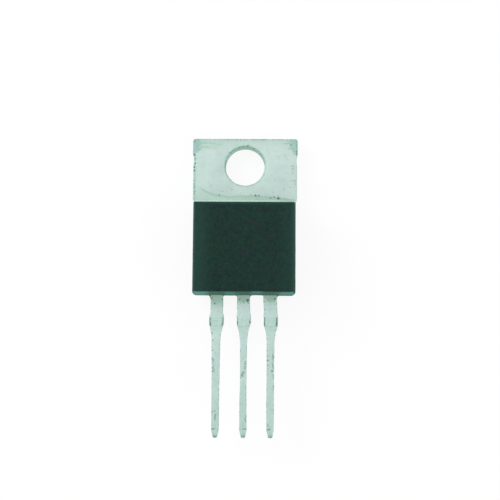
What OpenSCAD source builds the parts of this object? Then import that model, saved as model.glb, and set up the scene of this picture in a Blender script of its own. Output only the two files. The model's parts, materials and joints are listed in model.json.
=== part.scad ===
// Three-lead power voltage regulator: a metal tab with a screw hole, a moulded body round
// the chip and a row of three flat leads.
// The part lies on its back, as it bolts down. The origin is where the screw hole's axis
// meets the seating face, +Z points out of the front face and +Y points up the tab.

/* [Tab] */
// Width across the ears at the top of the tab
tab_w = 10.2; // [10.1:0.05:10.6]
// Thickness of the tab and of the pad behind the chip
tab_t = 1.3; // [1.15:0.05:1.4]
// From the screw hole's centre up to the top edge
tab_top = 2.7; // [2.5:0.05:3.2]
// Length of the ears, down from the top edge
ear_l = 1.7; // [0.8:0.1:2.4]
// How far an ear stands out past the side of the tab
ear_out = 0.055; // [0.01:0.005:0.08]
// Depth of the shallow notch below an ear
notch_d = 0.05; // [0.02:0.01:0.1]
// Length of the notch below an ear
notch_l = 0.9; // [0.4:0.1:1.5]
// Radius of the tab's top corners
tab_corner_r = 0.2; // [0.15:0.05:0.6]
// Radius of the rolled edge round the front of the tab
tab_edge_r = 0.08; // [0.04:0.01:0.14]
// Diameter of the screw hole
hole_d = 3.8; // [3.5:0.05:3.9]
// Radius of the rolled edge round the front of the hole
hole_edge_r = 0.1; // [0.05:0.01:0.3]

/* [Moulded body] */
// From the side of an ear in to the side of the body, at the parting line
body_inset = 0.225; // [0.1:0.005:0.3]
// From the screw hole's centre to the body, along the front of the tab
hole_to_body = 3.6; // [3.2:0.05:4]
// Length of the body at the parting line
body_l = 9.06; // [9:0.02:9.4]
// From the seating face to the front face
body_front = 4.5; // [4.3:0.05:4.8]
// Depth of the body's back behind the seating face
back_recess = 0.05; // [0.02:0.01:0.1]
// Draft of the walls in front of the parting line
front_draft = 7; // [3:0.5:9]
// Draft of the walls behind the parting line
back_draft = 5; // [2:0.5:7]
// Radius of the corners at the lead end, on the front face
body_corner_r = 0.2; // [0.15:0.01:0.6]
// Radius of the edge round the front face
body_edge_r = 0.12; // [0.05:0.01:0.14]
// Width of the mould flash beside the root of a lead
flash_w = 0.16; // [0.05:0.01:0.25]
// Length of the mould flash along the root of a lead
flash_l = 0.3; // [0.1:0.05:0.5]
// Thickness of the mould flash
flash_t = 0.2; // [0.1:0.05:0.4]

/* [Leads] */
// Distance between the centres of neighbouring leads
lead_pitch = 2.54; // [2.5:0.01:2.58]
// Thickness of a lead
lead_t = 0.5; // [0.4:0.05:0.6]
// From the seating face to the back of a lead
lead_back = 2.4; // [2.25:0.05:2.5]
// Length of a lead outside the body
lead_l = 13.23; // [12.7:0.01:14.2]
// Width of a lead where it leaves the body
root_w = 1.25; // [1.1:0.01:1.35]
// From the body to the stub of the cut tie bar
root_l = 1.95; // [1.5:0.05:2.3]
// Width across the stub of the cut tie bar
stub_w = 1.37; // [1.37:0.01:1.6]
// Length of the stub
stub_l = 0.7; // [0.5:0.05:1]
// Length of the slope from the root out to the stub
stub_slope_l = 0.35; // [0.2:0.05:0.6]
// Radius of the neck that narrows the lead
neck_r = 5.8; // [2:0.1:8]
// Width of the narrow part that goes through the board
lead_w = 0.7; // [0.6:0.01:0.9]
// Length of the tapered tip
tip_l = 0.7; // [0.3:0.05:1]
// Width at the end of the tip
tip_w = 0.37; // [0.2:0.01:0.5]

/* [Inside the body] */
// Width of the moulding beside the pad, on the seating face
pad_cover = 0.85; // [0.75:0.05:1.2]
// Length of the moulding past the pad, on the seating face
pad_to_end = 2.97; // [2.6:0.01:3.4]
// How far the ledge that locks the pad in stands out
ledge_w = 0.3; // [0.15:0.05:0.35]
// Thickness of the ledge
ledge_t = 0.6; // [0.4:0.05:0.8]
// Depth of the locking groove across the pad
groove_d = 0.2; // [0.1:0.05:0.3]
// From the edge of the body to the groove
groove_at = 0.8; // [0.6:0.1:1]
// Width of the strip that joins the middle lead to the pad
web_w = 1.9; // [1.6:0.1:2.2]
// Length of the flat of that strip at the pad
web_foot = 0.35; // [0.2:0.05:0.5]
// Angle at which that strip climbs to the leads
web_angle = 53; // [45:1:62]
// How deep inside the body the leads widen
root_cover = 0.5; // [0.3:0.05:0.6]
// Length of a bonding post
post_l = 1.7; // [1.4:0.05:2]
// Width of the moulding between a bonding post and the middle lead
post_gap = 0.9; // [0.6:0.05:1]
// Width of the moulding outside a bonding post
post_cover = 1; // [0.8:0.05:1.2]
// Radius of the locking notches in the sides of a post
lock_r = 0.25; // [0.15:0.05:0.35]
// Width of the silicon die
die_w = 2.4; // [2:0.1:3]
// Length of the silicon die
die_l = 2; // [1.7:0.1:2.4]
// Thickness of the silicon die
die_t = 0.25; // [0.2:0.01:0.35]
// From the end of the pad to the die's centre
die_at = 2.45; // [2.1:0.05:2.8]
// Thickness of the solder under the die
solder_t = 0.04; // [0.03:0.01:0.08]
// How far the solder shows round the die
solder_margin = 0.1; // [0.05:0.01:0.2]
// Diameter of the wires to the input and the output
power_wire_d = 0.25; // [0.15:0.01:0.3]
// Diameter of the ground wire
ground_wire_d = 0.13; // [0.1:0.01:0.2]
// Gap between the feet of the two output wires
output_wire_gap = 0.07; // [0.04:0.01:0.15]
// From the edge of the die in to the feet of its wires
bond_inset = 0.5; // [0.45:0.05:0.6]
// From the end of a post to the feet of its wires
post_bond_inset = 0.5; // [0.45:0.05:0.6]
// From the edge of the die to the ground wire's foot on the pad
ground_reach = 0.7; // [0.5:0.05:1]

/* [Hidden] */
$fn = 48;

// Past the part, for a cut that goes right through
past = 2;
// Flat steps that make up a rolled or rounded edge
edge_steps = 6;
// Flat steps that make up the neck of a lead
neck_steps = 10;
// How far the parts of one solid run into each other
lap = 0.2;
block_lap = 0.03;
// How far the centre of a wire's arc lies below its first foot
power_drop = 1.4;
ground_drop = 0.4;
// Length, width and height of a wire's flattened foot, for a wire of unit diameter
foot_shape = [1.8, 1.3, 0.6];

// Widths of the body and of the pad on the seating face
body_w = tab_w - 2 * body_inset;
pad_w = body_w - 2 * pad_cover;

// Places along Y
body_start = -hole_to_body;
body_end = body_start - body_l;
pad_end = body_end + pad_to_end;
ledge_end = pad_end - ledge_w;
root_start = body_end + root_cover;
lead_tip = body_end - lead_l;

// Heights along Z
lead_front = lead_back + lead_t;
part_z = lead_back + lead_t / 2;
web_back = tab_t - lead_t;
solder_front = tab_t + solder_t;
die_front = solder_front + die_t;

// How far the draft brings the walls in at the front and at the back
front_inset = (body_front - part_z) * tan(front_draft);
back_inset = (part_z - back_recess) * tan(back_draft);
top_inset = (body_front - tab_t) * tan(front_draft);

// Radius of the corners at the lead end, at the parting line
wall_r = body_corner_r + front_inset;

post_in = web_w / 2 + post_gap;
post_out = body_w / 2 - post_cover;
post_x = (post_in + post_out) / 2;
die_y = pad_end + die_at;
die_bond_x = die_w / 2 - bond_inset;
die_bond_y = die_y - die_l / 2 + bond_inset;
post_bond_y = root_start + post_l - post_bond_inset;

// Points of a round corner from one bearing to the other
function arc(centre, r, from, to, steps) =
    [for (i = [0:steps]) centre + r * [cos(from + (to - from) * i / steps), sin(from + (to - from) * i / steps)]];

function mirrored(points) = [for (i = [len(points) - 1:-1:0]) [-points[i].x, points[i].y]];

// Turns a profile in X and Z into a bar along Y, from y to y + length
module bar_along_y(y, length) {
    translate([0, y, 0]) mirror([0, 1, 0]) rotate([90, 0, 0]) linear_extrude(length) children();
}

// Turns a profile in Y and Z into a bar along X that is centred on x = 0
module bar_along_x(length) {
    translate([-length / 2, 0, 0]) rotate([90, 0, 90]) linear_extrude(length) children();
}

// Moulded body

// Section through a wall, measured outwards from the centre of a corner
module wall_section() {
    reach = body_edge_r * tan((90 - front_draft) / 2);
    polygon(concat(
        [[0, back_recess], [wall_r - back_inset, back_recess], [wall_r, part_z]],
        arc([body_corner_r - reach, body_front - body_edge_r], body_edge_r, front_draft, 90, edge_steps),
        [[0, body_front]]));
}

// The end by the tab, as a profile in Y and Z
module tab_end_profile() {
    start = body_start - top_inset;
    reach = body_edge_r * tan((90 - front_draft) / 2);
    polygon(concat(
        [[body_end - past, -past], [body_start, -past], [body_start, tab_t]],
        arc([start - reach, body_front - body_edge_r], body_edge_r, front_draft, 90, edge_steps),
        [[body_end - past, body_front]]));
}

// One wall along Y on the right-hand side, from the corner at the lead end
module side_wall() {
    translate([body_w / 2 - wall_r, 0, 0])
        bar_along_y(body_end + wall_r, body_l) wall_section();
}

module lead_end_corner() {
    translate([body_w / 2 - wall_r, body_end + wall_r, 0])
        rotate_extrude(angle = -90) wall_section();
}

module body_block() {
    inner = body_w / 2 - wall_r;
    block_w = 2 * (inner + block_lap);
    translate([-block_w / 2, body_end + wall_r - block_lap, back_recess])
        cube([block_w, body_l, body_front - back_recess]);
    translate([0, body_end + wall_r, 0]) rotate([0, 0, -90])
        bar_along_y(-inner, 2 * inner) wall_section();
    for (side = [0, 1]) mirror([side, 0, 0]) {
        side_wall();
        lead_end_corner();
    }
}

// Thin webs of flash in the corners where the leads come out
module root_flash() {
    half = root_w / 2;
    translate([0, 0, part_z - flash_t / 2]) linear_extrude(flash_t)
        polygon([[-half, body_end - flash_l], [-half - flash_w, body_end],
            [-half - flash_w, body_end + lap], [half + flash_w, body_end + lap],
            [half + flash_w, body_end], [half, body_end - flash_l]]);
}

module body_form() {
    intersection() {
        body_block();
        bar_along_x(body_w + 2 * past) tab_end_profile();
    }
    for (side = [-1:1]) translate([side * lead_pitch, 0, 0]) root_flash();
}

module moulded_body() {
    color([0.13, 0.21, 0.19]) difference() {
        body_form();
        ground_form();
        lead_form(-1);
        lead_form(1);
        die_form();
        solder_form();
        input_wire_form();
        output_wire_form(-1);
        output_wire_form(1);
        ground_wire_form();
    }
}

// Tab and leads

// Takes the front edge off a bar along Y whose right-hand side is at x
module rolled_edge(x, y, length) {
    bar_along_y(y, length)
        polygon(concat(
            arc([x - tab_edge_r, tab_t - tab_edge_r], tab_edge_r, 90, 0, edge_steps),
            [[x + past, tab_t - tab_edge_r], [x + past, tab_t + past], [x - tab_edge_r, tab_t + past]]));
}

module tab_outline() {
    side = tab_w / 2 - ear_out;
    ear_y = tab_top - ear_l;
    right = concat(
        [[side, body_start], [side, ear_y - notch_l], [side - notch_d, ear_y - notch_l + notch_d],
            [side - notch_d, ear_y], [tab_w / 2, ear_y]],
        arc([tab_w / 2 - tab_corner_r, tab_top - tab_corner_r], tab_corner_r, 0, 90, edge_steps));
    polygon(concat(right, mirrored(right)));
}

module screw_hole() {
    r = hole_d / 2;
    rotate_extrude()
        polygon(concat(
            [[0, -past], [r, -past]],
            arc([r + hole_edge_r, tab_t - hole_edge_r], hole_edge_r, 180, 90, edge_steps),
            [[r + hole_edge_r, tab_t + past], [0, tab_t + past]]));
}

module tab_plate() {
    side = tab_w / 2 - ear_out;
    ear_y = tab_top - ear_l;
    difference() {
        linear_extrude(tab_t) tab_outline();
        screw_hole();
        for (m = [0, 1]) mirror([m, 0, 0]) {
            rolled_edge(side, body_start, ear_y - body_start);
            rolled_edge(tab_w / 2, ear_y, ear_l + past);
        }
        rotate([0, 0, 90]) rolled_edge(tab_top, -tab_w / 2 - past, tab_w + 2 * past);
    }
}

// The pad inside the body, with a ledge on three sides and a groove across its front
module chip_pad() {
    ledge_half = pad_w / 2 + ledge_w;
    groove_y = body_start - groove_at;
    difference() {
        union() {
            translate([-pad_w / 2, pad_end, 0]) cube([pad_w, body_start + lap - pad_end, tab_t]);
            translate([-ledge_half, ledge_end, tab_t - ledge_t])
                cube([2 * ledge_half, body_start + lap - ledge_end, ledge_t]);
        }
        bar_along_x(pad_w + 2 * past)
            polygon([[groove_y - groove_d, tab_t], [groove_y, tab_t - groove_d], [groove_y + groove_d, tab_t]]);
    }
}

// The strip that climbs from the pad to the plane of the leads
module ground_web() {
    rise = lead_back - web_back;
    mitre = lead_t * tan(web_angle / 2);
    foot_y = ledge_end - web_foot;
    top_y = foot_y - rise / tan(web_angle);
    bar_along_x(web_w)
        polygon([[pad_end, web_back], [foot_y, web_back], [top_y, lead_back],
            [root_start, lead_back], [root_start, lead_front], [top_y + mitre, lead_front],
            [foot_y + mitre, tab_t], [pad_end, tab_t]]);
}

// Outline of a lead from inside the body to its tip
module lead_outline() {
    half = lead_w / 2;
    stub_half = stub_w / 2;
    stub_y = body_end - root_l;
    neck_y = stub_y - stub_l;
    turn = acos(1 - (stub_half - half) / neck_r);
    neck_end = neck_y - neck_r * sin(turn);
    right = concat(
        [[tip_w / 2, lead_tip], [half, lead_tip + tip_l]],
        arc([half + neck_r, neck_end], neck_r, 180, 180 - turn, neck_steps),
        [[stub_half, stub_y], [root_w / 2, stub_y + stub_slope_l], [root_w / 2, root_start + lap]]);
    polygon(concat(right, mirrored(right)));
}

module lead_strip() {
    translate([0, 0, lead_back]) linear_extrude(lead_t) lead_outline();
}

module bonding_post() {
    notch_y = root_start + (post_l - post_bond_inset) / 2;
    translate([0, 0, lead_back]) linear_extrude(lead_t) difference() {
        translate([post_in, root_start]) square([post_out - post_in, post_l]);
        for (side_x = [post_in, post_out]) translate([side_x, notch_y]) circle(lock_r);
    }
}

module ground_form() {
    tab_plate();
    chip_pad();
    ground_web();
    lead_strip();
}

module lead_form(side) {
    translate([side * lead_pitch, 0, 0]) lead_strip();
    mirror([side < 0 ? 1 : 0, 0, 0]) bonding_post();
}

module tab_with_ground_lead() {
    color([0.77, 0.85, 0.83]) ground_form();
}

module input_lead() {
    color([0.74, 0.83, 0.8]) lead_form(-1);
}

module output_lead() {
    color([0.74, 0.83, 0.8]) lead_form(1);
}

// Chip and wires

module die_form() {
    translate([-die_w / 2, die_y - die_l / 2, solder_front]) cube([die_w, die_l, die_t]);
}

module solder_form() {
    w = die_w + 2 * solder_margin;
    l = die_l + 2 * solder_margin;
    translate([-w / 2, die_y - l / 2, tab_t]) cube([w, l, solder_t]);
}

module wire_foot(d) {
    size = foot_shape * d;
    translate([-size.x / 2, -size.y / 2, 0]) cube(size);
}

// A wire in one round arc between two flattened feet, each foot seated at its own point.
// The arc's centre lies below the first foot by drop.
module bond_wire(from, to, d, drop) {
    run = norm([to.x - from.x, to.y - from.y]);
    bearing = atan2(to.y - from.y, to.x - from.x);
    rise = to.z - from.z;
    centre_run = (run * run + (rise + drop) * (rise + drop) - drop * drop) / (2 * run);
    r = norm([centre_run, drop]);
    first = atan2(drop, -centre_run);
    last = atan2(rise + drop, run - centre_run);
    translate([from.x, from.y, from.z + d / 2]) rotate([90, 0, bearing])
        translate([centre_run, -drop, 0]) rotate([0, 0, last])
            rotate_extrude(angle = first - last) translate([r, 0]) circle(d = d);
    translate(from) rotate([0, 0, bearing]) wire_foot(d);
    translate(to) rotate([0, 0, bearing]) wire_foot(d);
}

module input_wire_form() {
    bond_wire([-die_bond_x, die_bond_y, die_front], [-post_x, post_bond_y, lead_front],
        power_wire_d, power_drop);
}

// The output wires run side by side, one on each side of the line from die to post
module output_wire_form(side) {
    from = [die_bond_x, die_bond_y, die_front];
    to = [post_x, post_bond_y, lead_front];
    run = [to.x - from.x, to.y - from.y] / norm([to.x - from.x, to.y - from.y]);
    across = side * (foot_shape.y * power_wire_d + output_wire_gap) / 2 * [-run.y, run.x, 0];
    bond_wire(from + across, to + across, power_wire_d, power_drop);
}

module ground_wire_form() {
    y = die_y + die_l / 2 - bond_inset;
    bond_wire([-die_bond_x, y, die_front], [-die_w / 2 - ground_reach, y, tab_t],
        ground_wire_d, ground_drop);
}

module regulator_die() {
    color([0.42, 0.44, 0.5]) die_form();
}

module die_solder() {
    color([0.7, 0.72, 0.72]) solder_form();
}

module input_wire() {
    color([0.83, 0.84, 0.85]) input_wire_form();
}

module output_wire_a() {
    color([0.83, 0.84, 0.85]) output_wire_form(-1);
}

module output_wire_b() {
    color([0.83, 0.84, 0.85]) output_wire_form(1);
}

module ground_wire() {
    color([0.83, 0.84, 0.85]) ground_wire_form();
}

moulded_body();
tab_with_ground_lead();
input_lead();
output_lead();
regulator_die();
die_solder();
input_wire();
output_wire_a();
output_wire_b();
ground_wire();
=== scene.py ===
"""Looks of a through-hole voltage regulator that lies on its back on a pale studio floor."""

import json
import math

import bpy
from mathutils import Matrix, Vector, noise
from mathutils.geometry import delaunay_2d_cdt


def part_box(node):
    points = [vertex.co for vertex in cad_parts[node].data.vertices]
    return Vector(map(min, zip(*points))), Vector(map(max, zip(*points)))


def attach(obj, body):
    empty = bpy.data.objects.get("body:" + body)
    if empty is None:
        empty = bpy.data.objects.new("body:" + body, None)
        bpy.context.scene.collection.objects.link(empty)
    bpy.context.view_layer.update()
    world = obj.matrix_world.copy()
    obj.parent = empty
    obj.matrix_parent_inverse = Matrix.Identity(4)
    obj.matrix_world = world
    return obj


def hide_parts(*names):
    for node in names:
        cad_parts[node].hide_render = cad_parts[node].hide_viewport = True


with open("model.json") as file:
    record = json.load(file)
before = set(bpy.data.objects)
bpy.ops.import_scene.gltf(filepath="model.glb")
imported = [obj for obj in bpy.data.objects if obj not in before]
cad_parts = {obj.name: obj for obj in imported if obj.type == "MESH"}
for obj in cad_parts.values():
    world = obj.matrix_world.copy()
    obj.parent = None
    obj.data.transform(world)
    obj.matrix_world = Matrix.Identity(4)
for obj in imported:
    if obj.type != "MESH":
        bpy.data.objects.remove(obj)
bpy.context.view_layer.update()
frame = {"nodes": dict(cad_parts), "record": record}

# All sizes below are in millimetres unless they say otherwise
MM = 0.001


def box_mm(node):
    """Lowest and highest corner of a CAD node, in millimetres."""
    low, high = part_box(node)
    return low / MM, high / MM


def mount(name):
    return next(m for m in frame["record"]["mounts"] if m["name"] == name)


# Places and sizes that the frame gives
body_low, body_high = box_mm("moulded_body")
tab_low, tab_high = box_mm("tab_with_ground_lead")
input_low, input_high = box_mm("input_lead")
PITCH = mount("lead_row")["dims"]["spacing_x_mm"]
HOLE_R = mount("screw_hole")["dims"]["r_mm"]
TAB_W = tab_high.x - tab_low.x
TAB_TOP = tab_high.y
BODY_W = body_high.x - body_low.x
BODY_START = body_high.y
BODY_FRONT = body_high.z
BODY_BACK = body_low.z
LEAD_TIP = input_low.y
LEAD_BACK = input_low.z
LEAD_FRONT = input_high.z
POST_END = input_high.y
PART_Z = (LEAD_BACK + LEAD_FRONT) / 2

# Tab
TAB_T = 1.3
EAR_L = 1.7
EAR_OUT = 0.055
NOTCH_L = 0.9
NOTCH_D = 0.05
TAB_CORNER_R = 0.2
TAB_ROLL = 0.08
HOLE_ROLL = 0.1
PAD_W = 8.05
PAD_END = -9.69

# Moulded body
FLASH_L = 0.3
BODY_END = body_low.y + FLASH_L
FRONT_DRAFT = math.radians(7)
BACK_DRAFT = math.radians(5)
FRONT_CORNER_R = 0.2
FRONT_EDGE_R = 0.12
BACK_EDGE_R = 0.05
TAB_END_CORNER_R = 0.03

# Leads
ROOT_START = BODY_END + 0.5
ROOT_W = 1.25
ROOT_L = 1.95
STUB_W = 1.37
STUB_L = 0.7
STUB_SLOPE = 0.35
NECK_R = 5.8
LEAD_W = 0.7
LEAD_ROLL = 0.06
TIP_L = 0.7
TIP_W = 0.37
POST_IN = 1.85
POST_OUT = 3.875
POST_NOTCH_R = 0.25
WEB_W = 1.9
WEB_FOOT_Y = -10.34
WEB_TOP_Y = -11.55

# Camera, found by fitting the part's outline to the photograph
CAMERA_AT = Vector((2.19, -18.21, 94.7))
CAMERA_PITCH = -0.1069
CAMERA_YAW = -0.0177
CAMERA_ROLL = -0.0076
FOCAL_PIXELS = 977.0
FRAME_PIXELS = 500
SENSOR = 36.0


def make_camera():
    data = bpy.data.cameras.new("camera")
    data.sensor_width = SENSOR
    data.lens = FOCAL_PIXELS / FRAME_PIXELS * SENSOR
    data.clip_start = 1 * MM
    data.clip_end = 10
    turn = (Matrix.Rotation(CAMERA_ROLL, 4, "Z") @ Matrix.Rotation(CAMERA_PITCH, 4, "X")
            @ Matrix.Rotation(CAMERA_YAW, 4, "Y"))
    camera = bpy.data.objects.new("camera", data)
    camera.matrix_world = Matrix.Translation(CAMERA_AT * MM) @ turn.transposed()
    bpy.context.scene.collection.objects.link(camera)
    bpy.context.scene.camera = camera


make_camera()


# Materials

def paint_of(red, green, blue):
    """A colour as it is seen on a screen, 0 to 255, in linear light."""
    def linear(value):
        share = value / 255
        return share / 12.92 if share <= 0.04045 else ((share + 0.055) / 1.055) ** 2.4
    return (linear(red), linear(green), linear(blue), 1)


class Graph:
    """A material in the making. Its nodes measure places in millimetres and heights in micrometres."""

    def __init__(self, name, colour):
        self.material = bpy.data.materials.new(name)
        self.material.use_nodes = True
        self.tree = self.material.node_tree
        self.shader = self.tree.nodes["Principled BSDF"]
        place = self.node("ShaderNodeTexCoord").outputs["Object"]
        self.place = self.vector("SCALE", place, scale=1 / MM)
        self.x, self.y, self.z = self.node("ShaderNodeSeparateXYZ", Vector=self.place).outputs
        wobble = self.node("ShaderNodeTexNoise", Vector=self.place, Scale=4.5, Detail=3).outputs["Color"]
        wobble = self.vector("SUBTRACT", wobble, (0.5, 0.5, 0.5))
        self.flat = self.node("ShaderNodeCombineXYZ", X=self.x, Y=self.y).outputs[0]
        self.ragged_flat = self.vector("MULTIPLY_ADD", wobble, (0.3, 0.3, 0), self.flat)
        normal = self.node("ShaderNodeNewGeometry").outputs["Normal"]
        self.normal = self.node("ShaderNodeSeparateXYZ", Vector=normal).outputs
        self.colour = colour
        self.heights = []

    def feed(self, socket, value):
        if isinstance(value, bpy.types.NodeSocket):
            self.tree.links.new(value, socket)
        else:
            socket.default_value = value

    def node(self, kind, settings=None, **inputs):
        made = self.tree.nodes.new(kind)
        for name, value in (settings or {}).items():
            setattr(made, name, value)
        for name, value in inputs.items():
            self.feed(made.inputs[name], value)
        return made

    def math(self, operation, *values):
        made = self.node("ShaderNodeMath", {"operation": operation})
        for socket, value in zip(made.inputs, values):
            self.feed(socket, value)
        return made.outputs[0]

    def vector(self, operation, *values, scale=None):
        made = self.node("ShaderNodeVectorMath", {"operation": operation})
        for socket, value in zip(made.inputs, values):
            self.feed(socket, value)
        if scale is not None:
            self.feed(made.inputs["Scale"], scale)
        return made.outputs["Value" if operation in ("DISTANCE", "LENGTH", "DOT_PRODUCT") else "Vector"]

    def ramp(self, value, zero_at, one_at):
        """0 where value is at zero_at or past it, 1 at one_at, and smooth between."""
        made = self.node("ShaderNodeMapRange", {"interpolation_type": "SMOOTHSTEP"})
        self.feed(made.inputs["Value"], value)
        self.feed(made.inputs["From Min"], zero_at)
        self.feed(made.inputs["From Max"], one_at)
        return made.outputs[0]

    def plus(self, *values):
        total = values[0]
        for value in values[1:]:
            total = self.math("ADD", total, value)
        return total

    def less(self, first, second):
        return self.math("SUBTRACT", first, second)

    def size_of(self, value):
        return self.math("ABSOLUTE", value)

    def times(self, *shares):
        product = shares[0]
        for share in shares[1:]:
            product = self.math("MULTIPLY", product, share)
        return product

    def most(self, *shares):
        highest = shares[0]
        for share in shares[1:]:
            highest = self.math("MAXIMUM", highest, share)
        return highest

    def grain(self, per_mm, detail=2.0, rough=0.5, stretch=None, shift=0.0):
        """Cloudy noise from 0 to 1. A stretch above 1 packs it closer along that axis."""
        place = self.place
        if stretch:
            place = self.vector("MULTIPLY", place, stretch)
        if shift:
            place = self.vector("ADD", place, (shift, -shift, shift / 2))
        made = self.node("ShaderNodeTexNoise", Vector=place, Scale=per_mm, Detail=detail, Roughness=rough)
        return made.outputs[0]

    def specks(self, per_mm, radius, share, shift=0.0):
        """Small round marks, one in some of the cells, 0 between them and 1 in them."""
        place = self.vector("ADD", self.place, (shift, shift / 3, -shift))
        made = self.node("ShaderNodeTexVoronoi", Vector=place, Scale=per_mm)
        spot = self.ramp(made.outputs["Distance"], radius * per_mm, radius * per_mm * 0.5)
        pick = self.node("ShaderNodeSeparateColor", Color=made.outputs["Color"]).outputs[0]
        return self.times(spot, self.math("LESS_THAN", pick, share))

    def dot(self, x, y, radius):
        """A mark with a ragged outline at its own place on the front."""
        gap = self.vector("DISTANCE", self.ragged_flat, (x, y, 0))
        return self.ramp(gap, radius * 1.15, radius * 0.3)

    def line(self, start, end, half_width):
        """A ragged mark from one place on the front to another, soft at its sides."""
        along = Vector((end[0] - start[0], end[1] - start[1], 0))
        offset = self.vector("SUBTRACT", self.ragged_flat, (start[0], start[1], 0))
        run = self.vector("DOT_PRODUCT", offset, tuple(along / along.length_squared))
        run = self.math("MINIMUM", self.math("MAXIMUM", run, 0), 1)
        nearest = self.vector("SCALE", tuple(along), scale=run)
        gap = self.vector("DISTANCE", offset, nearest)
        return self.ramp(gap, half_width, half_width * 0.2)

    def blend(self, share, first, second):
        made = self.node("ShaderNodeMix", {"data_type": "RGBA"})
        self.feed(made.inputs[0], share)
        self.feed(made.inputs[6], first)
        self.feed(made.inputs[7], second)
        return made.outputs[2]

    def paint(self, share, colour):
        """Lays a colour over what is there, as thickly as share says."""
        self.colour = self.blend(share, self.colour, colour)

    def raise_by(self, value, micrometres):
        self.heights.append(self.math("MULTIPLY", value, micrometres))

    def finish(self, metallic, roughness, specular=0.5):
        self.feed(self.shader.inputs["Base Color"], self.colour)
        self.feed(self.shader.inputs["Roughness"], roughness)
        self.feed(self.shader.inputs["Metallic"], metallic)
        self.feed(self.shader.inputs["Specular IOR Level"], specular)
        bump = self.node("ShaderNodeBump", Height=self.plus(*self.heights))
        bump.inputs["Strength"].default_value = 1
        bump.inputs["Distance"].default_value = MM / 1000
        self.feed(self.shader.inputs["Normal"], bump.outputs[0])
        return self.material


# Colours as they are seen in the photograph
TIN = paint_of(195, 213, 208)
TIN_SHADE = paint_of(178, 202, 194)
TIN_BLUE = paint_of(151, 186, 180)
TIN_GREEN = paint_of(156, 194, 174)
TIN_BRIGHT = paint_of(206, 224, 216)
TIN_BAND = paint_of(142, 181, 169)
TIN_CORNER = paint_of(148, 172, 171)
TIN_LINE_BRIGHT = paint_of(192, 226, 207)
TIN_STAIN = paint_of(140, 172, 156)
TIN_DARK = paint_of(100, 138, 126)
HOLE_WALL = paint_of(178, 216, 196)
SPECK = paint_of(40, 84, 72)
LEAD_TIN = paint_of(189, 210, 205)
LEAD_PALE = paint_of(192, 213, 208)
BLEED = paint_of(144, 182, 166)
BLEED_PALE = paint_of(158, 188, 152)
CUT_METAL = paint_of(84, 124, 112)


def tin_surface(g, shift):
    """What the whole of the tinned metal has: clouds, rolling lines, pores and dull specks."""
    clouds = g.grain(0.45, 3, 0.55, shift=shift)
    tints = g.grain(0.9, 3, 0.6, shift=shift + 5)
    rolling = g.grain(1.2, 4, 0.6, stretch=(0.35, 6, 3), shift=shift)
    mottle = g.grain(4.5, 3, 0.6, shift=shift)
    pores = g.specks(2.4, 0.08, 0.3, shift)
    g.paint(g.times(g.ramp(clouds, 0.42, 0.68), 0.35), TIN_SHADE)
    g.paint(g.times(g.ramp(clouds, 0.5, 0.3), 0.3), TIN_BRIGHT)
    g.paint(g.times(g.ramp(tints, 0.5, 0.7), 0.22), TIN_BLUE)
    g.paint(g.times(g.ramp(tints, 0.48, 0.3), 0.2), TIN_GREEN)
    g.paint(g.times(g.ramp(rolling, 0.5, 0.75), 0.18), TIN_BLUE)
    g.paint(g.times(g.ramp(mottle, 0.45, 0.75), 0.3), TIN_SHADE)
    g.paint(g.times(pores, 0.35), TIN_STAIN)
    g.raise_by(clouds, 30)
    g.raise_by(rolling, 2.5)
    g.raise_by(mottle, 2)
    g.raise_by(g.grain(28, 2, 0.5, shift=shift), 0.6)
    g.raise_by(pores, -2)
    return rolling, mottle


def shade_rolled_rim(g, mottle, strength):
    """Painted shade along the rolled front edges, as a broken dark line."""
    turned_shade = g.times(g.ramp(g.normal[2], 0.97, 0.6), g.ramp(g.normal[2], 0.1, 0.3))
    g.paint(g.times(turned_shade, g.ramp(mottle, 0.36, 0.56), strength), TIN_DARK)


def stain_height(g):
    """How far a place lies above the ragged line that a liquid left across the tab as it dried."""
    left = g.times(g.math("POWER", g.math("MAXIMUM", g.less(-2, g.x), 0), 2), 0.135)
    right = g.times(g.math("POWER", g.math("MAXIMUM", g.x, 0), 2), -0.018)
    dip = g.times(g.ramp(g.size_of(g.plus(g.x, 1.5)), 0.8, 0), -0.13)
    ragged = g.times(g.less(g.grain(2.6, 3, 0.6), 0.5), 0.18)
    return g.plus(g.less(g.y, g.plus(left, right, dip, -2.87)), ragged)


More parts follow.
